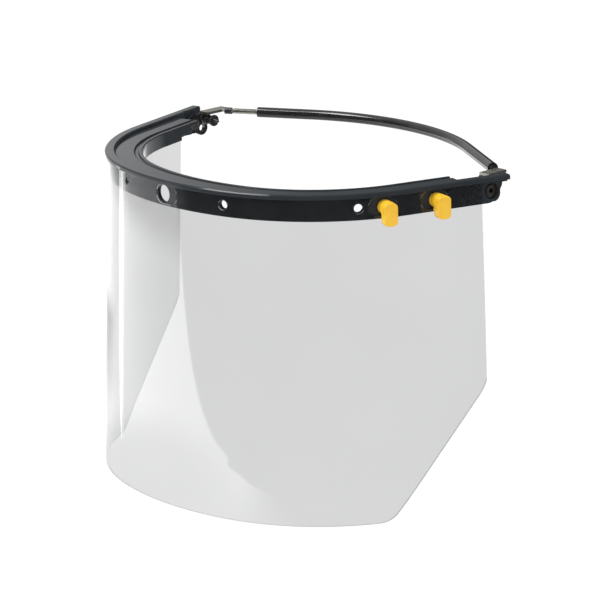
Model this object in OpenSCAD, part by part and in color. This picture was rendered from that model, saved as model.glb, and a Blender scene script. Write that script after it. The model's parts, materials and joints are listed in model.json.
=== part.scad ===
// Face-shield carrier for a hard hat: a U-shaped visor frame with a clear visor,
// four quarter-turn knobs and a sprung rear band that hooks round the back of the hat.
// The front of the visor faces -Y, the wearer's left is +X, and +Z is up.
// The origin is midway between the two side pivots.

/* [Frame outline] */
// Radius of the front bend, at the outer face of the frame wall
front_r = 161.7; // [150:0.1:190]
// Sine of half the angle that the front bend covers
front_half_sine = 0.28; // [0.2:0.01:0.32]
// Radius of the two side bends, at the outer face of the wall
side_r = 105.3; // [95:0.1:115]
// Sine of the two straight arms' outward lean from the fore-and-aft line
arm_splay_sine = 0.28; // [0.2:0.01:0.34]
// How far the end of an arm's wall lies behind the pivot
arm_behind = 5.4; // [5.2:0.1:7]
// How far the raised rim runs on past the end of the wall
rim_overrun = 5; // [3:0.5:8]

/* [Frame section] */
// Height of the wall that the visor lies on, up to the underside of the lip
wall_h = 13.2; // [12.6:0.1:16]
// Thickness of the wall
wall_t = 2.2; // [1.8:0.1:2.6]
// How far the lip reaches out over the visor's top edge
lip_out = 3.1; // [2.4:0.1:4]
// Height of the raised rim above the bottom of the wall
rim_top = 16; // [15.5:0.1:18]
// How far the raised rim reaches inward from the outer face of the wall
rim_in = 3.2; // [2.6:0.1:3.6]
// Bevel along the rim's outer and inner edges
rim_bevel = 0.8; // [0.3:0.1:1]
// Height of the flat flange above the bottom of the wall
flange_top = 14; // [13.6:0.1:15]
// Thickness of the flange
flange_t = 2.4; // [1.8:0.1:2.6]
// How far inward the flange's flat stretch ends
flat_in = 14.5; // [12:0.5:15]
// Width of the shallow channel inside the flat stretch
channel_w = 3; // [2:0.1:3.4]
// Depth of that channel
channel_d = 1.1; // [0.5:0.1:1.4]
// How far inward the inner face of the skirt lies
skirt_in = 19.6; // [19:0.1:22]
// Thickness of the skirt
skirt_t = 1.6; // [1.2:0.1:2]
// Height of the skirt's lower edge above the bottom of the wall
skirt_low = 5.2; // [3:0.1:8]
// Height of the skirt's lower edge where it steps up near its ends
skirt_step_low = 8.2; // [7:0.1:10]
// Where the deep skirt ends, along an arm's straight stretch
skirt_end = 18.4; // [10:0.2:22]
// Where the shallow skirt ends, along an arm's straight stretch
skirt_step_end = 30; // [24:0.5:34]
// Where the flange ends, along an arm's straight stretch
flange_end = 38; // [36:0.5:39]
// Radius of the round tab at the end of the wall
tab_r = 8; // [7.5:0.1:9]

/* [Visor] */
// Half of the visor's length, measured along the frame
visor_half = 200; // [190:1:203]
// Depth of the visor below the bottom of the wall
visor_drop = 179; // [160:1:190]
// Thickness of the visor sheet
visor_t = 1; // [0.8:0.1:1.5]
// Outward lean of the visor, in degrees
visor_flare = 2.5; // [0:0.1:3]
// Free space between the visor's top edge and the lip, and between visor and wall
visor_gap = 0.1; // [0.1:0.05:0.3]
// Height of the slanting cut above the visor's bottom edge, at its rear edge
cut_rise = 74.5; // [60:0.5:90]
// Slope of the slanting cut, in degrees from the horizontal
cut_slope = 49; // [42:0.5:55]
// Radius of the corner above the slanting cut
cut_upper_r = 28; // [10:1:32]
// Radius of the corner below the slanting cut
cut_lower_r = 14; // [6:1:18]

/* [Stations] */
// Height of the knobs and holes above the bottom of the wall
station_z = 7; // [6.8:0.1:7.4]
// Distance of the two small front holes from the middle, along the frame
small_front_s = 42.7; // [35:0.1:60]
// Distance of the two small side holes from the middle, along the frame
small_side_s = 122.1; // [110:0.1:123]
// Radius of the small holes in the frame
small_r = 2.5; // [1.5:0.1:2.8]
// Radius of the small holes in the visor
small_visor_r = 3; // [2.8:0.1:4]
// Distance of the large front hole from the middle, along the frame
front_hole_s = 3.4; // [0:0.1:3.5]
// Radius of the large front hole
front_hole_r = 5.2; // [4:0.1:5.3]
// Distance of the front knobs from the middle, along the frame
knob_front_s = 137.3; // [136:0.1:142]
// Distance of the rear knobs from the middle, along the frame
knob_rear_s = 169.8; // [166:0.1:174]
// Length of the visor's knob slots
slot_len = 17.6; // [16.4:0.1:20]
// Height of the visor's knob slots
slot_h = 11.2; // [10.4:0.1:11.6]
// How far forward of the knob's axis the middle of its slot lies
slot_ahead = 1; // [0.8:0.1:1.4]

/* [Knobs] */
// Radius of a knob's shaft
shaft_r = 3; // [2.4:0.1:3.2]
// Radial play of a knob's shaft in the frame
shaft_play = 0.05; // [0.02:0.01:0.1]
// Radius of a knob's round hub
hub_r = 4.3; // [3.6:0.1:4.6]
// Free space between a hub and the frame wall
hub_gap = 0.25; // [0.2:0.05:0.4]
// Distance from the frame wall to the underside of the lobe that holds the visor
lobe_out = 2.1; // [2:0.1:2.6]
// Width of that lobe
lobe_w = 5; // [4:0.1:6]
// Distance from the frame wall to the underside of the wing
wing_out = 6; // [5:0.1:7]
// Thickness of the wing
wing_t = 5.5; // [4:0.1:7]
// Width of the wing
wing_w = 8.2; // [7:0.1:9]
// How far the wing hangs below the knob's axis
wing_drop = 9.3; // [8:0.1:9.6]
// How far the wing stands above the knob's axis
wing_rise = 3.9; // [3.6:0.1:4.2]
// Corner radius of the wing
wing_r = 2.6; // [1:0.1:3]
// Radius of the washer and of the push-on clip behind the wall
knob_clip_r = 4; // [3.8:0.1:4.2]
// Thickness of the washer
knob_washer_t = 0.5; // [0.3:0.1:0.8]
// Thickness of the push-on clip
knob_clip_t = 0.9; // [0.6:0.1:1.2]
// Free space on each side of the washer
knob_washer_gap = 0.15; // [0.12:0.01:0.2]
// How far the shaft runs on behind its clip
shaft_tail = 0.6; // [0.3:0.1:1]

/* [Pivots] */
// Distance of a pivot along an arm's straight stretch
pivot_at = 55.6; // [54:0.1:62]
// Radius of a pivot rivet's shank
rivet_r = 2.5; // [2:0.1:2.8]
// Radial play of the rivet in the frame and in the clip
rivet_play = 0.05; // [0.02:0.01:0.1]
// Radius of the rivet's outer head
rivet_head_r = 3.7; // [3.4:0.1:4]
// Thickness of the rivet's outer head
rivet_head_t = 0.9; // [0.6:0.1:1.2]
// Radius of the rivet's hollow
rivet_hollow_r = 1.5; // [1:0.1:1.7]
// Depth of the rivet's hollow
rivet_hollow_d = 3; // [1:0.1:4]
// Radius of the recess that the head sits in
recess_r = 4.7; // [4.4:0.1:4.8]
// Depth of that recess at the pivot's axis
recess_d = 1.5; // [1.3:0.1:1.6]
// Depth from the wall's outer face, at the pivot's axis, to the clip's seat
seat_d = 3.7; // [3.4:0.1:3.9]
// Free space between a clip and its seat
clip_gap = 0.2; // [0.15:0.05:0.3]
// Thickness of a clip's plate
clip_t = 2.4; // [2:0.1:2.8]
// Radius of the clip round the pivot
clip_r = 6; // [5:0.1:6.4]
// Thickness of the washer under the rivet's formed head
pivot_washer_t = 0.5; // [0.3:0.1:0.7]
// Free space between that washer and the clip
pivot_washer_gap = 0.1; // [0.05:0.05:0.15]
// Radius of that washer
pivot_washer_r = 4.2; // [3.9:0.1:4.4]
// Thickness of the rivet's formed head
formed_t = 0.8; // [0.5:0.1:1]
// Radius of the rivet's formed head
formed_r = 3.5; // [3.2:0.1:3.7]

/* [Hook pins] */
// Distance of a hook pin behind the pivot
pin_back = 8.5; // [8.2:0.1:9.5]
// Height of a hook pin above the pivot
pin_up = 2.4; // [1.6:0.1:3]
// Radius of the pin's shank
pin_r = 2; // [1.6:0.1:2.2]
// Radial play of the hook on the pin
pin_play = 0.06; // [0.03:0.01:0.1]
// Radial play of the pin in its clip
pin_seat_play = 0.02; // [0.01:0.01:0.04]
// Radius of the clip round the pin
pin_boss_r = 4.4; // [3.6:0.1:4.8]
// Radius of the pin's collar
collar_r = 2.8; // [2.5:0.1:3]
// Length of the pin's collar
collar_len = 6.8; // [5:0.1:7]
// Radius of the pin's flange
pin_flange_r = 3.6; // [3.2:0.1:3.8]
// Thickness of the pin's flange
pin_flange_t = 1; // [0.6:0.1:1.4]
// Radius of the pin's tip where it leaves the flange
tip_r = 1.6; // [1:0.1:2]
// Radius of the pin's tip at its end
tip_end_r = 0.6; // [0.4:0.1:0.8]
// Length of the pin's tip
tip_len = 3.8; // [2:0.1:4.5]
// Distance of the clip's eye behind the pivot
eye_back = 6.6; // [6:0.1:7.5]
// Distance of the clip's eye below the pivot
eye_down = 3.4; // [3.2:0.1:4]
// Radius of the clip's eye
eye_r = 2.2; // [1.5:0.1:2.4]
// Outer radius of the clip round its eye
eye_boss_r = 4.6; // [4:0.1:5]

/* [Rear band] */
// Half of the angle of that bend, in degrees
band_half_angle = 30; // [26:0.5:32]
// Length of each straight end of the band
band_end_len = 50.8; // [48:0.1:56]
// Distance from the pivots back to the middle of the band
band_back = 64.5; // [60:0.5:70]
// Height of the band's centre line above the pivots
band_up = 7.2; // [7:0.1:8]
// Outer radius of the sleeve
sleeve_r = 3.2; // [2.9:0.1:3.4]
// Inner radius of the sleeve
sleeve_bore_r = 2.25; // [2.2:0.05:2.5]
// Length of spring that shows between the right ferrule and the sleeve
bare_len = 17.4; // [10:0.2:20]
// How far the sleeve laps over the left ferrule
sleeve_lap = 2; // [1:0.1:2.2]
// Thickness of the spring's wire
wire_d = 0.6; // [0.5:0.05:0.65]
// Outer radius of the spring
coil_r = 1.7; // [1.5:0.05:1.8]
// Free space between one curl and the next
coil_gap = 0.45; // [0.42:0.01:0.6]
// Number of curls that are wound
curls = 20; // [20:1:22]

/* [Hooks] */
// Thickness of a hook's steel strip
hook_t = 1.6; // [1.2:0.1:1.8]
// Width of a hook's plate
hook_w = 7.5; // [6.5:0.1:8]
// Free space between a hook's ear and the clip
ear_gap = 0.4; // [0.2:0.1:0.6]
// Radius of the ear round the pin
ear_r = 3.6; // [3.2:0.1:3.7]
// How far the plate reaches ahead of the pin
plate_ahead = 4; // [3.7:0.1:4.4]
// How far the right plate reaches behind the end of its ferrule
right_plate_past = 4.6; // [4:0.1:7]
// How far the left plate reaches behind the end of its ferrule
left_plate_past = 1.1; // [0.8:0.1:3]
// Radius of the hook's round tongue
tongue_r = 0.75; // [0.5:0.05:0.78]
// Outer radius of a ferrule
ferrule_r = 2.1; // [1.9:0.05:2.15]
// Length of a ferrule
ferrule_len = 4.5; // [4:0.1:5]
// Free space between a ferrule's rim and the side of its plate
ferrule_gap = 0.3; // [0.2:0.1:0.6]
// Depth of the ferrule's socket for the tongue
socket_d = 3.3; // [2.5:0.1:3.6]
// Radial play of the tongue in its socket
socket_play = 0.02; // [0.01:0.01:0.05]

/* [Hidden] */
$fn = 64;

black = [0.09, 0.10, 0.11];
clear = [0.86, 0.88, 0.90, 0.35];
yellow = [0.97, 0.74, 0.13];
steel = [0.66, 0.66, 0.63];
dull_metal = [0.42, 0.38, 0.34];
sleeve_grey = [0.13, 0.13, 0.13];
nylon = [0.80, 0.79, 0.75];

// Length of a cutting body that has to reach past a wall
over = 1;
hair = 0.02;
left = 1;
right = -1;

// The frame's outline, seen from above, with the middle of its front at y = 0
front_half_angle = asin(front_half_sine);
arm_splay = asin(arm_splay_sine);
front_end_s = front_r * front_half_angle * PI / 180;
side_angle = 90 - arm_splay - front_half_angle;
arm_len = pivot_at + arm_behind;
arm_start_s = front_end_s + side_r * side_angle * PI / 180;
side_centre = [(front_r - side_r) * sin(front_half_angle),
               front_r - (front_r - side_r) * cos(front_half_angle)];
arm_start = side_centre + side_r * [cos(arm_splay), -sin(arm_splay)];
arm_dir = [sin(arm_splay), cos(arm_splay)];

// Angle and place on the outline at a distance s from its middle
function path_angle(s) = s <= front_end_s ? s / front_r * 180 / PI
    : min(front_half_angle + (s - front_end_s) / side_r * 180 / PI, 90 - arm_splay);
function path_point(s) = s <= front_end_s
    ? front_r * [sin(path_angle(s)), 1 - cos(path_angle(s))]
    : s <= arm_start_s
    ? side_centre + side_r * [sin(path_angle(s)), -cos(path_angle(s))]
    : arm_start + (s - arm_start_s) * arm_dir;

// The pivots, and the layers that are stacked on them along X
pivot = arm_start + pivot_at * arm_dir;
pivot_z = station_z;
recess_x = pivot.x - recess_d;
seat_x = pivot.x - seat_d;
clip_x1 = seat_x - clip_gap;
clip_x0 = clip_x1 - clip_t;
pivot_washer_x1 = clip_x0 - pivot_washer_gap;
pivot_washer_x0 = pivot_washer_x1 - pivot_washer_t;
ear_x1 = clip_x0 - ear_gap;
ear_x0 = ear_x1 - hook_t;
collar_x1 = ear_x0 - ear_gap / 2;
swing_r = norm([pin_back, pin_up]) + pin_boss_r + over;

// The rear band: its ferrules end beside the hooks' plates
ferrule_end = band_end_len + ferrule_len;
ferrule_to_plate = ferrule_gap + ferrule_r * sin(band_half_angle);
band_r = (ear_x1 - hook_w - ferrule_to_plate - ferrule_end * cos(band_half_angle))
    / sin(band_half_angle);
bend_end = [band_r * sin(band_half_angle), band_back - band_r * (1 - cos(band_half_angle))];
ferrule_end_y = bend_end.y - ferrule_end * sin(band_half_angle);
coil_pitch = wire_d + coil_gap;
coil_mean_r = coil_r - wire_d / 2;
turn_r = wire_d;
spring_len = 2 * (wire_d + turn_r) + curls * coil_pitch;

// The visor's outline, seen from the side
flare = tan(visor_flare);
visor_top = wall_h - visor_gap;
visor_rear_y = path_point(visor_half).y;
upper_corner = [visor_rear_y, cut_rise - visor_drop];
lower_corner = [visor_rear_y - cut_rise / tan(cut_slope), -visor_drop];

// Moves a shape from the frame's own lines to the origin between the pivots
module from_frame() {
    translate([0, -pivot.y, -pivot_z]) children();
}

module on_side(side) {
    if (side == left) children();
    else mirror([1, 0, 0]) children();
}

module both_sides() {
    children();
    mirror([1, 0, 0]) children();
}

// Sets a shape on the frame at a distance s from its middle, with -Y pointing outward
module at_station(side, s) {
    on_side(side)
        translate([path_point(s).x, path_point(s).y, station_z])
            rotate([0, 0, path_angle(s)]) children();
}

// Turns a shape that stands on XY so that it points outward at a station
module outward(start) {
    translate([0, -start, 0]) rotate([90, 0, 0]) children();
}

// Runs a section, drawn as outward distance and height, round the three bends. Each half
// of the front bend starts at its side bend and laps over the other half in the middle.
module round_bends() {
    both_sides() {
        translate([0, front_r, 0])
            rotate([0, 0, -90 - front_half_angle])
                rotate_extrude(angle = front_half_angle + over)
                    translate([front_r, 0]) children();
        translate([side_centre.x, side_centre.y, 0])
            rotate([0, 0, front_half_angle - 90])
                rotate_extrude(angle = side_angle) translate([side_r, 0]) children();
    }
}

// Sets a shape on one arm: X points outward, Y runs along the arm from its start
module on_arm() {
    translate([arm_start.x, arm_start.y, 0]) rotate([0, 0, -arm_splay]) children();
}

// Runs a section along one arm
module along_arm(from, to) {
    on_arm() translate([0, to, 0]) rotate([90, 0, 0]) linear_extrude(to - from) children();
}

// A cylinder along X that starts at x and runs outward
module x_rod(x, len, r, r_end = 0) {
    translate([x, 0, 0]) rotate([0, 90, 0]) cylinder(h = len, r1 = r, r2 = r_end > 0 ? r_end : r);
}

module oblong(len, h) {
    square([len - h, h], center = true);
    for (x = [-1, 1]) translate([x * (len - h) / 2, 0]) circle(h / 2);
}

// ---- Frame ----

rim_outline = [
    [0, wall_h], [lip_out, wall_h], [lip_out, rim_top - rim_bevel],
    [lip_out - rim_bevel, rim_top], [rim_bevel - rim_in, rim_top],
    [-rim_in, rim_top - rim_bevel]];
flange_outline = [
    [-rim_in, flange_top], [-flat_in, flange_top],
    [-flat_in - channel_d / 2, flange_top - channel_d],
    [channel_d / 2 - flat_in - channel_w, flange_top - channel_d],
    [-flat_in - channel_w, flange_top], [skirt_t / 4 - skirt_in, flange_top],
    [-skirt_in, flange_top - skirt_t / 4]];

// The frame's section down to a skirt whose lower edge is at low
module frame_section(low) {
    polygon(concat(
        [[0, 0]], rim_outline, flange_outline,
        [[-skirt_in, low], [skirt_t - skirt_in, low],
         [skirt_t - skirt_in, flange_top - flange_t],
         [-wall_t, flange_top - flange_t], [-wall_t, 0]]));
}

// The section where the skirt has ended, and where only the rim runs on
module flange_section() {
    polygon(concat(
        [[0, 0]], rim_outline, flange_outline,
        [[-skirt_in, flange_top - flange_t], [-wall_t, flange_top - flange_t], [-wall_t, 0]]));
}

module rim_section() {
    polygon(concat([[0, flange_top - flange_t]], rim_outline,
                   [[-rim_in, flange_top - flange_t]]));
}

// The wall's end: a straight stretch that closes in a round tab, thicker round the pivot
module end_tab() {
    tab_wall(wall_t, flange_end - over);
    tab_wall(seat_d + recess_r, pivot_at - clip_r);
}

module tab_wall(thickness, from) {
    round_at = arm_len - tab_r;
    on_arm() translate([-thickness, 0, 0]) difference() {
        translate([0, from, 0]) cube([thickness, arm_len - from, wall_h]);
        difference() {
            translate([-over, round_at, -over])
                cube([thickness + 2 * over, tab_r + over, tab_r + over]);
            translate([-2 * over, round_at, tab_r]) rotate([0, 90, 0])
                cylinder(h = thickness + 4 * over, r = tab_r);
        }
    }
}

// What is cut from an arm so that the clip can turn on its inner side
module clip_space() {
    ahead = clip_r + over;
    translate([seat_x - skirt_in, pivot.y - ahead, -2 * over])
        cube([skirt_in, ahead + swing_r, rim_top + 4 * over]);
}

module pivot_holes() {
    translate([0, pivot.y, pivot_z]) {
        x_rod(seat_x - over, seat_d + 2 * over, rivet_r + rivet_play);
        x_rod(recess_x, recess_d + lip_out + 2 * over, recess_r);
    }
}

module frame_stock() {
    round_bends() frame_section(skirt_low);
    both_sides() {
        along_arm(0, skirt_end) frame_section(skirt_low);
        along_arm(skirt_end, skirt_step_end) frame_section(skirt_step_low);
        along_arm(skirt_step_end, flange_end) flange_section();
        along_arm(flange_end, arm_len + rim_overrun) rim_section();
        end_tab();
    }
}

// The frame with its ends cut for the clips and the rivets
module frame_blank() {
    difference() {
        difference() {
            frame_stock();
            both_sides() clip_space();
        }
        both_sides() pivot_holes();
    }
}

module carrier_frame() {
    color(black) from_frame() difference() {
        frame_blank();
        frame_holes();
    }
}

// Holes through the wall: the large front one, four small ones and four for the knobs
module frame_holes() {
    at_station(right, front_hole_s) wall_hole(front_hole_r);
    for (side = [left, right]) {
        for (s = [small_front_s, small_side_s]) at_station(side, s) wall_hole(small_r);
        for (s = [knob_front_s, knob_rear_s])
            at_station(side, s) wall_hole(shaft_r + shaft_play);
    }
}

module wall_hole(r) {
    outward(-wall_t - over) cylinder(h = wall_t + 2 * over, r = r);
}

// ---- Visor ----

// The sheet's section, drawn on below the sheet's bottom edge
module visor_section() {
    low = -visor_drop - over;
    low_out = visor_gap + flare * (visor_top - low);
    polygon([[visor_gap, visor_top], [visor_gap + visor_t, visor_top],
             [low_out + visor_t, low], [low_out, low]]);
}

// Points along an arc, from one angle to another, about 4 degrees apart
function arc(centre, r, from, to) =
    let (steps = ceil(abs(to - from) / 4))
    [for (i = [0 : steps])
        centre + r * [cos(from + (to - from) * i / steps), sin(from + (to - from) * i / steps)]];

// A block with the sheet's outline seen from the side: its lower rear corner is cut off, and
// both corners of the cut are rounded. A circle r in a corner of angle a touches both sides
// r / tan(a / 2) away from the corner.
module visor_block() {
    upper_centre = upper_corner
        + [-cut_upper_r, cut_upper_r / tan((90 + cut_slope) / 2)];
    lower_centre = lower_corner
        + [-cut_lower_r / tan((180 - cut_slope) / 2), cut_lower_r];
    rear = visor_rear_y + over;
    translate([-front_r, 0, 0]) rotate([90, 0, 90]) linear_extrude(2 * front_r)
        polygon(concat(
            [[-side_r, visor_top + over], [rear, visor_top + over], [rear, upper_centre.y]],
            arc(upper_centre, cut_upper_r, 0, cut_slope - 90),
            arc(lower_centre, cut_lower_r, cut_slope - 90, -90),
            [[-side_r, -visor_drop]]));
}

module visor() {
    color(clear) from_frame() difference() {
        intersection() {
            union() {
                round_bends() visor_section();
                both_sides() along_arm(0, visor_half - arm_start_s) visor_section();
            }
            visor_block();
        }
        visor_holes();
    }
}

module visor_holes() {
    cut_len = 2 * over + visor_t + flare * wall_h;
    at_station(left, 0)
        outward(0) linear_extrude(cut_len) oblong(slot_len, slot_h);
    for (side = [left, right]) {
        for (s = [small_front_s, small_side_s])
            at_station(side, s) outward(0) cylinder(h = cut_len, r = small_visor_r);
        for (s = [knob_front_s, knob_rear_s])
            at_station(side, s - slot_ahead)
                outward(-over) linear_extrude(cut_len + over) oblong(slot_len, slot_h);
    }
}

// ---- Knobs ----

// The knob's wing, with the knob's axis at the middle
module wing_outline() {
    translate([0, (wing_rise - wing_drop) / 2]) {
        inner_w = wing_w - 2 * wing_r;
        inner_h = wing_rise + wing_drop - 2 * wing_r;
        square([inner_w, inner_h + 2 * wing_r], center = true);
        square([wing_w, inner_h], center = true);
        for (x = [-1, 1], y = [-1, 1])
            translate([x * inner_w / 2, y * inner_h / 2]) circle(wing_r);
    }
}

knob_clip_depth = wall_t + 2 * knob_washer_gap + knob_washer_t;

module knob(side, s) {
    tail = knob_clip_depth + knob_clip_t + shaft_tail;
    color(yellow) from_frame() at_station(side, s) {
        outward(-tail) cylinder(h = tail + hub_gap + over, r = shaft_r);
        outward(hub_gap) cylinder(h = wing_out - hub_gap + over, r = hub_r);
        outward(lobe_out) linear_extrude(wing_out - lobe_out + over)
            translate([-lobe_w / 2, wing_r - wing_drop]) square([lobe_w, wing_drop - wing_r]);
        outward(wing_out) linear_extrude(wing_t) wing_outline();
    }
}

module knob_front_left() { knob(left, knob_front_s); }
module knob_rear_left() { knob(left, knob_rear_s); }
module knob_rear_right() { knob(right, knob_rear_s); }

module knob_ring(thickness, depth, play) {
    outward(-depth - thickness) difference() {
        cylinder(h = thickness, r = knob_clip_r);
        translate([0, 0, -over]) cylinder(h = thickness + 2 * over, r = shaft_r + play);
    }
}

module knob_clip(side, s) {
    color(dull_metal) from_frame() at_station(side, s)
        knob_ring(knob_clip_t, knob_clip_depth, socket_play);
}

module knob_clip_front_left() { knob_clip(left, knob_front_s); }
module knob_clip_rear_left() { knob_clip(left, knob_rear_s); }
module knob_clip_rear_right() { knob_clip(right, knob_rear_s); }

module knob_washer(side, s) {
    color(nylon) from_frame() at_station(side, s)
        knob_ring(knob_washer_t, wall_t + knob_washer_gap, shaft_play);
}

module knob_washer_front_left() { knob_washer(left, knob_front_s); }
module knob_washer_rear_left() { knob_washer(left, knob_rear_s); }
module knob_washer_rear_right() { knob_washer(right, knob_rear_s); }

// ---- Pivots ----

module pivot_rivet(side) {
    shank_x0 = pivot_washer_x0 - formed_t;
    head_x1 = recess_x + rivet_head_t;
    color(dull_metal) on_side(side) difference() {
        union() {
            x_rod(shank_x0, head_x1 - shank_x0, rivet_r);
            x_rod(recess_x, rivet_head_t, rivet_head_r);
            x_rod(shank_x0, formed_t, formed_r);
        }
        x_rod(head_x1 - rivet_hollow_d, rivet_hollow_d + over, rivet_hollow_r);
    }
}

module pivot_rivet_left() { pivot_rivet(left); }
module pivot_rivet_right() { pivot_rivet(right); }

module pivot_washer(side) {
    color(steel) on_side(side) difference() {
        x_rod(pivot_washer_x0, pivot_washer_t, pivot_washer_r);
        x_rod(pivot_washer_x0 - over, pivot_washer_t + 2 * over, rivet_r + rivet_play);
    }
}

module pivot_washer_left() { pivot_washer(left); }
module pivot_washer_right() { pivot_washer(right); }

// The clip's plate lies across X: a disc round the pivot, a boss round the pin, and an eye
module pivot_clip(side) {
    pin = [pin_back, pin_up];
    eye = [eye_back, -eye_down];
    color(black) on_side(side) difference() {
        translate([clip_x0, 0, 0]) rotate([90, 0, 90]) {
            cylinder(h = clip_t, r = clip_r);
            translate(pin) cylinder(h = clip_t, r = pin_boss_r);
            translate(eye) cylinder(h = clip_t, r = eye_boss_r);
            linear_extrude(clip_t)
                polygon([[0, 0.9 * clip_r], pin + [0, 0.9 * pin_boss_r],
                         pin + [0.9 * pin_boss_r, 0], eye + [0.9 * eye_boss_r, 0],
                         eye - [0, 0.9 * eye_boss_r], [0, -0.9 * clip_r]]);
        }
        x_rod(clip_x0 - over, clip_t + 2 * over, rivet_r + rivet_play);
        translate([0, pin.x, pin.y])
            x_rod(clip_x0 - over, clip_t + 2 * over, pin_r + pin_seat_play);
        translate([0, eye.x, eye.y]) x_rod(clip_x0 - over, clip_t + 2 * over, eye_r);
    }
}

module pivot_clip_left() { pivot_clip(left); }
module pivot_clip_right() { pivot_clip(right); }

module hook_pin(side) {
    flange_x1 = collar_x1 - collar_len;
    flange_x0 = flange_x1 - pin_flange_t;
    color(steel) on_side(side) translate([0, pin_back, pin_up]) {
        x_rod(collar_x1 - over, clip_x1 - collar_x1 + over, pin_r);
        x_rod(flange_x1, collar_len, collar_r);
        x_rod(flange_x0, pin_flange_t, pin_flange_r);
        x_rod(flange_x0 - tip_len, tip_len, tip_end_r, tip_r);
    }
}

module hook_pin_left() { hook_pin(left); }
module hook_pin_right() { hook_pin(right); }

// ---- Rear band ----

// Sets a shape on one straight end of the band: +Z runs out along it from the middle bend
module on_band_end(side) {
    on_side(side)
        translate([bend_end.x, bend_end.y, band_up])
            rotate([0, 0, -band_half_angle]) rotate([0, 90, 0]) children();
}

// A round bar along the whole band, from a point on its right end to one on its left end.
// The bend is a hair thinner than the straight ends that it runs into.
module band_bar(r, right_end, left_end) {
    translate([0, band_back - band_r, band_up])
        rotate([0, 0, 90 - band_half_angle])
            rotate_extrude(angle = 2 * band_half_angle)
                translate([band_r, 0]) circle(r - hair);
    on_band_end(left) translate([0, 0, -over]) cylinder(h = left_end + over, r = r);
    on_band_end(right) translate([0, 0, -over]) cylinder(h = right_end + over, r = r);
}

module band_sleeve() {
    right_end = band_end_len - bare_len;
    left_end = band_end_len + sleeve_lap;
    color(sleeve_grey) difference() {
        band_bar(sleeve_r, right_end, left_end);
        band_bar(sleeve_bore_r, right_end + over, left_end + over);
    }
}

// The stretch of the band that the sleeve hides
module band_core() {
    color(steel) band_bar(coil_r, band_end_len - spring_len, band_end_len);
}

// The spring's wire: it leaves each end square, turns into the coil and runs round it
rings_per_curl = 8;
turn_rings = 3;
wire_sides = 6;
coil_start = wire_d + turn_r;
coil_end = coil_start + curls * coil_pitch;
function turn_in(i) = [coil_mean_r, -turn_r * cos(90 * i / turn_rings),
                       wire_d + turn_r * sin(90 * i / turn_rings)];
function coil_at(i) = [coil_mean_r * cos(360 * i / rings_per_curl),
                       coil_mean_r * sin(360 * i / rings_per_curl),
                       coil_start + coil_pitch * i / rings_per_curl];
function turn_out(i) = [coil_mean_r, turn_r * sin(90 * i / turn_rings),
                        coil_end + turn_r * (1 - cos(90 * i / turn_rings))];
wire_path = concat(
    [[coil_mean_r, -turn_r, 0]],
    [for (i = [0 : turn_rings - 1]) turn_in(i)],
    [for (i = [0 : curls * rings_per_curl]) coil_at(i)],
    [for (i = [1 : turn_rings]) turn_out(i)],
    [[coil_mean_r, turn_r, spring_len]]);
wire_rings = len(wire_path);

function unit(v) = v / norm(v);
function wire_dir(i) = i == 0 || i == wire_rings - 1
    ? [0, 0, 1] : unit(wire_path[i + 1] - wire_path[i - 1]);
function wire_ring(i) =
    let (along = wire_dir(i),
         radial = unit([wire_path[i].x, wire_path[i].y, 0]),
         across = unit(cross(along, radial)),
         out = cross(across, along))
    [for (k = [0 : wire_sides - 1])
        wire_path[i] + wire_d / 2 * (cos(360 * k / wire_sides) * out
                                     + sin(360 * k / wire_sides) * across)];

// Least distance between two stretches of the wire that lie half a curl or more apart
coil_clearance = min([for (i = [0 : wire_rings - 1 - rings_per_curl / 2])
    min([for (j = [i + rings_per_curl / 2 : wire_rings - 1])
        norm(wire_path[j] - wire_path[i])])]) - wire_d;
echo("least gap of the spring to itself, in mm", coil_clearance);

module band_spring() {
    n = wire_sides;
    last = (wire_rings - 1) * n;
    color(steel)
        on_band_end(right)
            translate([0, 0, band_end_len]) rotate([180, 0, 0])
                polyhedron(
                    points = [for (i = [0 : wire_rings - 1]) each wire_ring(i)],
                    faces = concat(
                        [for (i = [0 : wire_rings - 2], k = [0 : n - 1])
                            [i * n + k, i * n + (k + 1) % n, (i + 1) * n + k]],
                        [for (i = [0 : wire_rings - 2], k = [0 : n - 1])
                            [i * n + (k + 1) % n, (i + 1) * n + (k + 1) % n, (i + 1) * n + k]],
                        [for (k = [1 : n - 2]) [0, k + 1, k]],
                        [for (k = [1 : n - 2]) [last, last + k, last + k + 1]]));
}

module ferrule(side) {
    color(dull_metal) on_band_end(side) translate([0, 0, band_end_len]) difference() {
        cylinder(h = ferrule_len, r = ferrule_r);
        translate([0, 0, ferrule_len - socket_d])
            cylinder(h = socket_d + over, r = tongue_r + socket_play);
    }
}

module ferrule_left() { ferrule(left); }
module ferrule_right() { ferrule(right); }

// A hook: an ear that turns on the pin, a plate bent over it, and a tongue in the ferrule
module spring_hook(side, plate_past) {
    plate_z = band_up - hook_t / 2;
    plate_y = pin_back - plate_ahead;
    color(steel) {
        on_side(side) {
            difference() {
                union() {
                    translate([0, pin_back, pin_up]) x_rod(ear_x0, hook_t, ear_r);
                    translate([ear_x0, pin_back - ear_r, pin_up])
                        cube([hook_t, 2 * ear_r, plate_z - pin_up + hook_t / 2]);
                }
                translate([0, pin_back, pin_up])
                    x_rod(ear_x0 - over, hook_t + 2 * over, pin_r + pin_play);
            }
            translate([ear_x1 - hook_w, plate_y, plate_z])
                cube([hook_w, ferrule_end_y + plate_past - plate_y, hook_t]);
        }
        on_band_end(side) translate([0, 0, ferrule_end - socket_d])
            cylinder(h = socket_d + ferrule_to_plate / cos(band_half_angle) + 2 * over,
                     r = tongue_r);
    }
}

module spring_hook_left() { spring_hook(left, left_plate_past); }
module spring_hook_right() { spring_hook(right, right_plate_past); }

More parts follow.
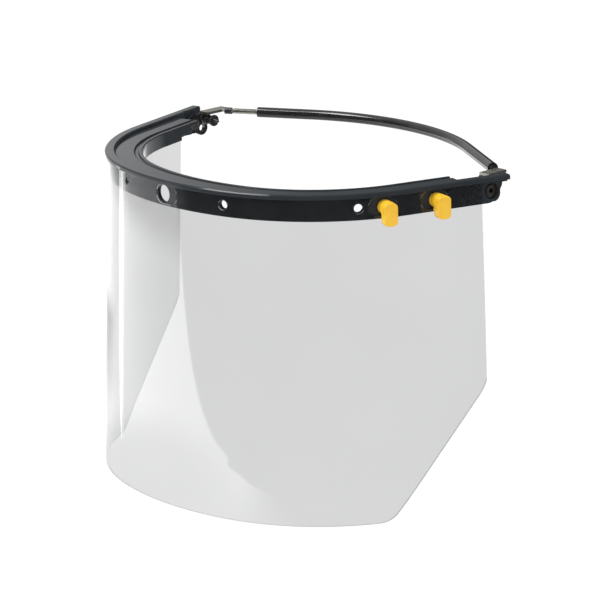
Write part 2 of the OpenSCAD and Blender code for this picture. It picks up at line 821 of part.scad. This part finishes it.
carrier_frame();
visor();
knob_front_left();
knob_rear_left();
knob_rear_right();
knob_clip_front_left();
knob_clip_rear_left();
knob_clip_rear_right();
knob_washer_front_left();
knob_washer_rear_left();
knob_washer_rear_right();
pivot_clip_left();
pivot_clip_right();
pivot_rivet_left();
pivot_rivet_right();
pivot_washer_left();
pivot_washer_right();
hook_pin_left();
hook_pin_right();
spring_hook_left();
spring_hook_right();
ferrule_left();
ferrule_right();
band_spring();
band_core();
band_sleeve();
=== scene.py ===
import json
import math

import bmesh
import bpy
from mathutils import Matrix, Vector


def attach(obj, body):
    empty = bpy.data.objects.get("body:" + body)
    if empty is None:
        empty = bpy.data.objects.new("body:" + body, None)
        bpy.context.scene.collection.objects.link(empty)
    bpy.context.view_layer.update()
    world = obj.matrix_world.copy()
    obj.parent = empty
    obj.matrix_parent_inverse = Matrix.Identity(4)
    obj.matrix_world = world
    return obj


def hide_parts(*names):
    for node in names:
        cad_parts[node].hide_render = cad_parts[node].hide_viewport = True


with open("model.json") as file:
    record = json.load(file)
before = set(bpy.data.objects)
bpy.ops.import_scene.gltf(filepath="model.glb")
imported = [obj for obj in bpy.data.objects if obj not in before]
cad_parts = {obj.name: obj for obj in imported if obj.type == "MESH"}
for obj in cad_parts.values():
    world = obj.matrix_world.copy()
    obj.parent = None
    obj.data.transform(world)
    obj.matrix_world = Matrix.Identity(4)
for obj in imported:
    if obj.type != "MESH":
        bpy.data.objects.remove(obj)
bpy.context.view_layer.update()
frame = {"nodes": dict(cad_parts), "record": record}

MM = 0.001
SCENE = bpy.context.scene
NODES = frame["nodes"]


# ---- Camera, fitted to the photograph ----

AZIMUTH, ELEVATION, ROLL = (math.radians(v) for v in (47.09, 16.0, -1.15))
AIM = Vector((0, -19.8, -85.2))                     # mm, near the part's middle
AIM_LEFT, AIM_DOWN = 6.6, 1.6                       # mm, to place the part in the frame
CAMERA_DISTANCE = 1871                              # mm
FOCAL_PIXELS, PHOTO_WIDTH, SENSOR_WIDTH = 3080.6, 600, 36


def make_camera():
    back = Vector((math.sin(AZIMUTH) * math.cos(ELEVATION),
                   -math.cos(AZIMUTH) * math.cos(ELEVATION), math.sin(ELEVATION)))
    level = Vector((math.cos(AZIMUTH), math.sin(AZIMUTH), 0))
    right = level * math.cos(ROLL) + back.cross(level) * math.sin(ROLL)
    up = back.cross(right)
    data = bpy.data.cameras.new("camera")
    data.sensor_fit = "HORIZONTAL"
    data.sensor_width = SENSOR_WIDTH
    data.lens = FOCAL_PIXELS / PHOTO_WIDTH * SENSOR_WIDTH
    data.clip_start, data.clip_end = 0.1, 20
    data.dof.use_dof = False
    cam = bpy.data.objects.new("camera", data)
    SCENE.collection.objects.link(cam)
    cam.matrix_world = Matrix((right, up, back)).transposed().to_4x4()
    cam.location = (AIM - AIM_LEFT * right - AIM_DOWN * up + CAMERA_DISTANCE * back) * MM
    SCENE.camera = cam


make_camera()


# ---- Materials ----

def material(name, color, rough, metallic=0.0, specular=0.5):
    m = bpy.data.materials.new(name)
    m.use_nodes = True
    m.diffuse_color = (*color, 1)
    b = m.node_tree.nodes["Principled BSDF"]
    b.inputs["Base Color"].default_value = (*color, 1)
    b.inputs["Roughness"].default_value = rough
    b.inputs["Metallic"].default_value = metallic
    b.inputs["Specular IOR Level"].default_value = specular
    return m


def link(m, a, out, b, inp):
    m.node_tree.links.new(a.outputs[out], b.inputs[inp])


def node(m, kind, **values):
    n = m.node_tree.nodes.new(kind)
    for key, value in values.items():
        setattr(n, key, value)
    return n


def calc(m, operation, *operands):
    """A Math node. Each operand is a number or (node, output)."""
    n = node(m, "ShaderNodeMath", operation=operation)
    for k, v in enumerate(operands):
        if isinstance(v, tuple):
            link(m, v[0], v[1], n, k)
        else:
            n.inputs[k].default_value = v
    return n, "Value"


def noise(m, where, scale, detail):
    n = node(m, "ShaderNodeTexNoise")
    n.inputs["Scale"].default_value = scale
    n.inputs["Detail"].default_value = detail
    link(m, where, "Object", n, "Vector")
    return n


def axes(m, source, out):
    n = node(m, "ShaderNodeSeparateXYZ")
    link(m, source, out, n, 0)
    return n


def mixed(m, source, out, first, second):
    """The first shader where the source is 0, and the second where it is 1."""
    n = node(m, "ShaderNodeMixShader")
    link(m, source, out, n, 0)
    link(m, first, 0, n, 1)
    link(m, second, 0, n, 2)
    return n


def ramp(m, source, out, stops):
    n = node(m, "ShaderNodeValToRGB")
    n.color_ramp.elements[0].position = stops[0][0]
    n.color_ramp.elements[0].color = stops[0][1]
    n.color_ramp.elements[1].position = stops[-1][0]
    n.color_ramp.elements[1].color = stops[-1][1]
    for pos, col in stops[1:-1]:
        n.color_ramp.elements.new(pos).color = col
    link(m, source, out, n, "Fac")
    return n


def grey(v):
    return (v, v, v, 1)


def mottle(m, scale, low, high, rough, bump, bump_scale, round_edges=None):
    """Slow colour and roughness changes, a fine bump over them, and softened edges."""
    b = m.node_tree.nodes["Principled BSDF"]
    where = node(m, "ShaderNodeTexCoord")
    slow = noise(m, where, scale, 4)
    colors = ramp(m, slow, "Fac", [(0.3, (*low, 1)), (0.7, (*high, 1))])
    link(m, colors, "Color", b, "Base Color")
    r = ramp(m, slow, "Fac", [(0.3, grey(rough[0])), (0.7, grey(rough[1]))])
    link(m, r, "Color", b, "Roughness")
    fine = noise(m, where, bump_scale, 3)
    bn = node(m, "ShaderNodeBump")
    bn.inputs["Strength"].default_value = bump
    bn.inputs["Distance"].default_value = 0.0002
    link(m, fine, "Fac", bn, "Height")
    if round_edges:
        bevel = node(m, "ShaderNodeBevel", samples=6)
        bevel.inputs["Radius"].default_value = round_edges
        link(m, bevel, "Normal", bn, "Normal")
    link(m, bn, "Normal", b, "Normal")
    return m


black = mottle(
    material("black_frame", (0.02, 0.024, 0.029), 0.12, specular=0.18), scale=60,
    low=(0.023, 0.027, 0.031), high=(0.03, 0.034, 0.038), rough=(0.09, 0.14),
    bump=0.02, bump_scale=700, round_edges=0.0005)
black_clip = mottle(
    material("black_clip", (0.02, 0.02, 0.022), 0.3), scale=120,
    low=(0.014, 0.014, 0.016), high=(0.024, 0.024, 0.026), rough=(0.22, 0.34),
    bump=0.1, bump_scale=1500, round_edges=0.0003)
yellow = mottle(
    material("yellow_knob", (0.9, 0.5, 0.03), 0.35), scale=150,
    low=(0.82, 0.47, 0.024), high=(0.90, 0.54, 0.036), rough=(0.32, 0.45),
    bump=0.1, bump_scale=1200)
steel = mottle(
    material("steel", (0.42, 0.41, 0.37), 0.3, metallic=1.0), scale=300,
    low=(0.38, 0.37, 0.33), high=(0.55, 0.54, 0.49), rough=(0.34, 0.48),
    bump=0.1, bump_scale=2500, round_edges=0.0002)
dull = mottle(
    material("dull_metal", (0.3, 0.27, 0.24), 0.35, metallic=1.0), scale=250,
    low=(0.2, 0.18, 0.155), high=(0.36, 0.33, 0.29), rough=(0.28, 0.45),
    bump=0.12, bump_scale=2000, round_edges=0.0002)
# Painted shade: a dark metal for a few small steel parts, in place of the dark reflections they
# show
painted_dark_steel = mottle(
    material("painted_dark_steel", (0.05, 0.05, 0.055), 0.3, metallic=0.6), scale=260,
    low=(0.03, 0.03, 0.034), high=(0.07, 0.07, 0.075), rough=(0.24, 0.4),
    bump=0.12, bump_scale=2000, round_edges=0.0002)
nylon = mottle(
    material("nylon", (0.6, 0.59, 0.55), 0.5), scale=200,
    low=(0.55, 0.54, 0.5), high=(0.66, 0.65, 0.61), rough=(0.45, 0.6),
    bump=0.08, bump_scale=1500)
sleeve = mottle(
    material("black_sleeve", (0.014, 0.014, 0.015), 0.2), scale=90,
    low=(0.011, 0.011, 0.012), high=(0.019, 0.019, 0.019), rough=(0.1, 0.17),
    bump=0.03, bump_scale=700)

SHEET_IOR = 1.5


def clear_sheet():
    """A clear sheet, each face of which mirrors by the same law from either side."""
    m = bpy.data.materials.new("clear_sheet")
    m.use_nodes = True
    m.diffuse_color = (0.8, 0.82, 0.84, 0.3)
    m.node_tree.nodes.clear()
    where = node(m, "ShaderNodeTexCoord")
    geo = node(m, "ShaderNodeNewGeometry")
    tint = ramp(m, noise(m, where, 9, 3), "Fac",
                [(0.3, (0.822, 0.823, 0.825, 1)), (0.7, (0.836, 0.837, 0.839, 1))])
    see = node(m, "ShaderNodeBsdfTransparent")
    link(m, tint, "Color", see, "Color")
    gloss = node(m, "ShaderNodeBsdfGlossy")
    gloss.inputs["Roughness"].default_value = 0.02
    ior = calc(m, "MULTIPLY_ADD", (geo, "Backfacing"), 1 / SHEET_IOR - SHEET_IOR, SHEET_IOR)
    fres = node(m, "ShaderNodeFresnel")
    link(m, ior[0], "Value", fres, "IOR")
    face = mixed(m, fres, "Fac", see, gloss)
    # The cut edges are milky: they point up or down, or backward at the arms' ends
    n = axes(m, geo, "Normal")
    p = axes(m, where, "Object")
    steep = calc(m, "GREATER_THAN", calc(m, "ABSOLUTE", (n, "Z")), 0.3)
    back = calc(m, "MULTIPLY", calc(m, "GREATER_THAN", (n, "Y"), 0.6),
                calc(m, "GREATER_THAN", calc(m, "ABSOLUTE", (p, "X")), 0.125))
    edge = calc(m, "MULTIPLY", calc(m, "MAXIMUM", steep, back), 0.65)
    milk = node(m, "ShaderNodeBsdfPrincipled")
    milk.inputs["Base Color"].default_value = (0.62, 0.66, 0.68, 1)
    milk.inputs["Roughness"].default_value = 0.25
    out = node(m, "ShaderNodeOutputMaterial")
    link(m, mixed(m, edge[0], "Value", face, milk), "Shader", out, "Surface")
    return m


clear = clear_sheet()

LOOKS = {
    "black_frame": black, "black_clip": black_clip, "clear_sheet": clear,
    "yellow_knob": yellow, "clip_steel": steel, "nylon": nylon, "dull_metal": dull,
    "black_sleeve": sleeve, "steel": steel}
SLOTS = {part["node"]: part["material_slot"] for part in frame["record"]["subparts"]}
DARK = ("hook_pin", "pivot_washer", "ferrule")      # small steel parts made dark: painted shade for the dark reflections they show
for name, slot in SLOTS.items():
    mesh = NODES[name].data
    mesh.materials.clear()
    mesh.materials.append(painted_dark_steel if name.startswith(DARK) else LOOKS[slot])


# ---- Pieces ----

HAIR = 0.03 * MM
WELD = 0.001 * MM


def piece(name, mesh, cad_node, body, smooth=True):
    obj = bpy.data.objects.new(name, mesh)
    SCENE.collection.objects.link(obj)
    mesh.materials.clear()
    mesh.materials.append(LOOKS[SLOTS[cad_node]])
    if smooth:
        mesh.shade_smooth()
    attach(obj, body)
    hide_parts(cad_node)
    return obj


KNOB_VOXEL = 0.25 * MM


def moulded(obj, voxel, rounds):
    """The object's mesh remade with small even faces and rounded edges."""
    remesh = obj.modifiers.new("remesh", "REMESH")
    remesh.mode = "VOXEL"
    remesh.voxel_size = voxel
    smooth = obj.modifiers.new("smooth", "SMOOTH")
    smooth.factor = 0.5
    smooth.iterations = rounds
    mesh = bpy.data.meshes.new_from_object(
        obj.evaluated_get(bpy.context.evaluated_depsgraph_get()))
    obj.modifiers.clear()
    return mesh


def make_sheet():
    """The visor, a hair thinner, so that its faces and the frame's never coincide."""
    mesh = NODES["visor"].data.copy()
    place = [tuple(round(c / WELD) for c in v.co) for v in mesh.vertices]
    outward = {}
    for face in mesh.polygons:
        for v in face.vertices:
            outward[place[v]] = outward.get(place[v], Vector()) + face.normal * face.area
    for v in mesh.vertices:
        v.co -= outward[place[v.index]].normalized() * HAIR
    piece("visor_sheet", mesh, "visor", "carrier", smooth=False)


make_sheet()


def make_knob(name):
    rough = bpy.data.objects.new(name + "_rough", NODES[name].data.copy())
    SCENE.collection.objects.link(rough)
    mesh = moulded(rough, KNOB_VOXEL, 7)
    bpy.data.objects.remove(rough)
    piece(name + "_moulded", mesh, name, name)


for name in ("knob_front_left", "knob_rear_left", "knob_rear_right"):
    make_knob(name)

# The right end of the rear band, as in the solids, in mm: the bend's radius and half angle,
# its rearmost point, its height, and the straight end's length
BAND_R, BAND_HALF, BAND_BACK, BAND_UP = 138.0136, math.radians(30), 64.5, 7.2
BAND_END = 50.8
CURLS = 34
WOUND_LENGTH = 21
WIRE, COIL_R, PITCH = 0.6, 1.7, WOUND_LENGTH / CURLS


def on_right_end(x, y, z):
    """A point of the spring, whose axis is z from the ferrule inward."""
    along, across = BAND_END - z, -y
    px = BAND_R * math.sin(BAND_HALF) + along * math.cos(BAND_HALF) + across * math.sin(BAND_HALF)
    py = (BAND_BACK - BAND_R * (1 - math.cos(BAND_HALF))
          - along * math.sin(BAND_HALF) + across * math.cos(BAND_HALF))
    return Vector((-px, py, BAND_UP - x)) * MM


def tube(name, path, radius, sides):
    """A wire along the path, with its rings turned by the spring's axis."""
    bm = bmesh.new()
    rings = []
    foot = on_right_end(0, 0, 0)
    axis = (on_right_end(0, 0, 1) - foot).normalized()
    for i, here in enumerate(path):
        along = (path[min(i + 1, len(path) - 1)] - path[max(i - 1, 0)]).normalized()
        radial = here - foot - axis * (here - foot).dot(axis)
        radial = (radial - along * radial.dot(along)).normalized()
        across = along.cross(radial)
        rings.append([bm.verts.new(here + radius * (math.cos(a) * radial + math.sin(a) * across))
                      for a in (2 * math.pi * k / sides for k in range(sides))])
    for a, b in zip(rings, rings[1:]):
        for k in range(sides):
            bm.faces.new((a[k], a[(k + 1) % sides], b[(k + 1) % sides], b[k]))
    bm.faces.new(rings[0])
    bm.faces.new(list(reversed(rings[-1])))
    bmesh.ops.recalc_face_normals(bm, faces=bm.faces)
    mesh = bpy.data.meshes.new(name)
    bm.to_mesh(mesh)
    bm.free()
    return mesh


def make_spring():
    """The wound stretch, with a straight lead into the ferrule and one into the sleeve."""
    mean = COIL_R - WIRE / 2
    start = 2 * WIRE
    turn = WIRE
    path = [on_right_end(mean, -turn, 0)]
    path += [on_right_end(mean, -turn * math.cos(a), WIRE + turn * math.sin(a))
             for a in (math.pi / 2 * k / 5 for k in range(5))]
    per = 20
    for i in range(CURLS * per + 1):
        a = 2 * math.pi * i / per
        path.append(on_right_end(mean * math.cos(a), mean * math.sin(a), start + PITCH * i / per))
    end = start + CURLS * PITCH
    path += [on_right_end(mean, turn * math.sin(a), end + turn * (1 - math.cos(a)))
             for a in (math.pi / 2 * k / 5 for k in range(1, 6))]
    path.append(on_right_end(mean, turn, end + 2 * WIRE))
    mesh = tube("spring_wire", path, WIRE / 2 * MM, 12)
    piece("spring_wire", mesh, "band_spring", "band")


make_spring()


# ---- Stage, in metres ----

FLOOR_Z, FLOOR_HALF = -0.1865, 6
WHITE = 1.05
TOWARD = Vector((math.sin(AZIMUTH), -math.cos(AZIMUTH), 0))    # level, to the photograph's side
LIT = Vector((0, -0.05, -0.03))                                # the point that the lamp faces


def make_lamp():
    size, radiance, away = 0.5, 16, 1.4
    d = bpy.data.lights.new("top", "AREA")
    d.shape = "RECTANGLE"
    d.size = d.size_y = size
    d.energy = radiance * math.pi * size * size
    o = bpy.data.objects.new("top", d)
    SCENE.collection.objects.link(o)
    way = Vector((-0.296, -0.407, 0.84)).normalized()
    o.location = LIT + way * away
    o.rotation_mode = "QUATERNION"
    o.rotation_quaternion = way.to_track_quat("Z", "Y")


def emission(m, strength):
    glow = node(m, "ShaderNodeEmission")
    glow.inputs["Color"].default_value = (1, 1, 1, 1)
    if isinstance(strength, tuple):
        link(m, strength[0], strength[1], glow, "Strength")
    else:
        glow.inputs["Strength"].default_value = strength
    return glow


def fade(m, value, start, end, low, high):
    """From low to high while the value goes from start to end."""
    n = node(m, "ShaderNodeMapRange")
    n.interpolation_type = "SMOOTHSTEP"
    link(m, value[0], value[1], n, "Value")
    n.inputs["From Min"].default_value = start
    n.inputs["From Max"].default_value = end
    n.inputs["To Min"].default_value = low
    n.inputs["To Max"].default_value = high
    return n, "Result"


def times(m, *factors):
    total = factors[0]
    for f in factors[1:]:
        total = calc(m, "MULTIPLY", total, f)
    return total


def distance(m, x, y, at):
    dx = calc(m, "SUBTRACT", x, at[0])
    dy = calc(m, "SUBTRACT", y, at[1])
    return calc(m, "SQRT", calc(m, "ADD", times(m, dx, dx), times(m, dy, dy)))


def table_light(m, x, y):
    """How bright the table at x, y is in mirrors. It ends in front of the part, has painted shade
    round the part where its shadow would fall, is dimmer behind it and far off, and has a painted
    highlight strip on its left."""
    front = calc(m, "SUBTRACT", times(m, x, 0.935), y)
    on_table = fade(m, front, 0.27, 0.28, 1, 0)
    far = fade(m, distance(m, x, y, (0, 0)), 0.76, 1.0, 1, 0.28)
    # Painted shadow: the table's glow is darker round the part, where the part's shadow would
    # fall
    near = fade(m, distance(m, x, y, (-0.07, -0.17)), 0.05, 0.17, 0.55, 1)
    right = fade(m, x, 0.04, 0.1, 1, 0.05)
    behind = calc(m, "MAXIMUM", fade(m, y, -0.25, 0.05, 1, 0.3), fade(m, x, -0.5, -0.3, 0.7, 0))
    plain = times(m, on_table, far, near, right, behind, 2.8)
    # Painted highlight: the strip, standing in for a softbox's reflection, starts at the part and
    # widens away from it
    line = calc(m, "ADD", calc(m, "SUBTRACT", y, times(m, x, 0.044)), 0.136)
    width = times(m, calc(m, "ADD", x, 0.1), -0.055)
    inside = calc(m, "DIVIDE", calc(m, "ABSOLUTE", line), width)
    strip = times(m, fade(m, inside, 0.6, 1, 2.6, 0), calc(m, "LESS_THAN", x, -0.14))
    return calc(m, "ADD", calc(m, "ADD", plain, strip), 0.1)


def make_floor():
    """A pale floor. In mirrors it glows as a white table that ends in front of the part, with
    painted shade round the part and a painted highlight strip.
    """
    m = bpy.data.materials.new("floor")
    m.use_nodes = True
    m.node_tree.nodes.clear()
    diffuse = node(m, "ShaderNodeBsdfDiffuse")
    diffuse.inputs["Color"].default_value = (0.85, 0.85, 0.85, 1)
    path = node(m, "ShaderNodeLightPath")
    p = axes(m, node(m, "ShaderNodeNewGeometry"), "Position")
    # Painted reflection: glossy rays see the table's glow, with its painted shade and highlight
    # strip
    mirrored = table_light(m, (p, "X"), (p, "Y"))
    white = mixed(m, path, "Is Camera Ray", diffuse, emission(m, WHITE))
    seen = mixed(m, path, "Is Glossy Ray", white, emission(m, mirrored))
    link(m, seen, "Shader", node(m, "ShaderNodeOutputMaterial"), "Surface")
    mesh = bpy.data.meshes.new("floor")
    corners = [(x * FLOOR_HALF, y * FLOOR_HALF, FLOOR_Z)
               for x, y in ((-1, -1), (1, -1), (1, 1), (-1, 1))]
    mesh.from_pydata(corners, [], [(0, 1, 2, 3)])
    floor = bpy.data.objects.new("floor", mesh)
    mesh.materials.append(m)
    SCENE.collection.objects.link(floor)


def along_way(world, where, way, factor):
    """How far the view in a mirror goes the given way, times the factor, from 0.5."""
    dot = node(world, "ShaderNodeVectorMath", operation="DOT_PRODUCT")
    dot.inputs[1].default_value = way
    link(world, where, "Generated", dot, 0)
    return calc(world, "MULTIPLY_ADD", (dot, "Value"), factor, 0.5)


def make_world():
    """White all round, but in mirrors pale behind the part and dark in front of it."""
    world = bpy.data.worlds.new("world")
    SCENE.world = world
    world.use_nodes = True
    world.node_tree.nodes.clear()
    plain = node(world, "ShaderNodeBackground")
    plain.inputs["Color"].default_value = (1, 1, 1, 1)
    plain.inputs["Strength"].default_value = WHITE
    where = node(world, "ShaderNodeTexCoord")
    front = along_way(world, where, TOWARD, 0.5)
    shades = ramp(world, front[0], "Value",
                  [(0.0, grey(1.0)), (0.40, grey(0.8)), (0.52, grey(0.1)), (1.0, grey(0.1))])
    side = along_way(world, where, (-TOWARD.y, TOWARD.x, 0), 5)
    sides = ramp(world, side[0], "Value",
                 [(0.0, grey(0.8)), (0.18, grey(0.85)), (0.35, grey(0.45)),
                  (0.5, grey(0.15)), (1.0, grey(0.06))])
    both = node(world, "ShaderNodeVectorMath", operation="MULTIPLY")
    link(world, shades, "Color", both, 0)
    link(world, sides, "Color", both, 1)
    room = node(world, "ShaderNodeBackground")
    link(world, both, "Vector", room, "Color")
    path = node(world, "ShaderNodeLightPath")
    seen = mixed(world, path, "Is Glossy Ray", plain, room)
    link(world, seen, "Shader", node(world, "ShaderNodeOutputWorld"), "Surface")


make_floor()
make_world()
make_lamp()
SCENE.view_settings.view_transform = "Standard"
SCENE.view_settings.look = "None"
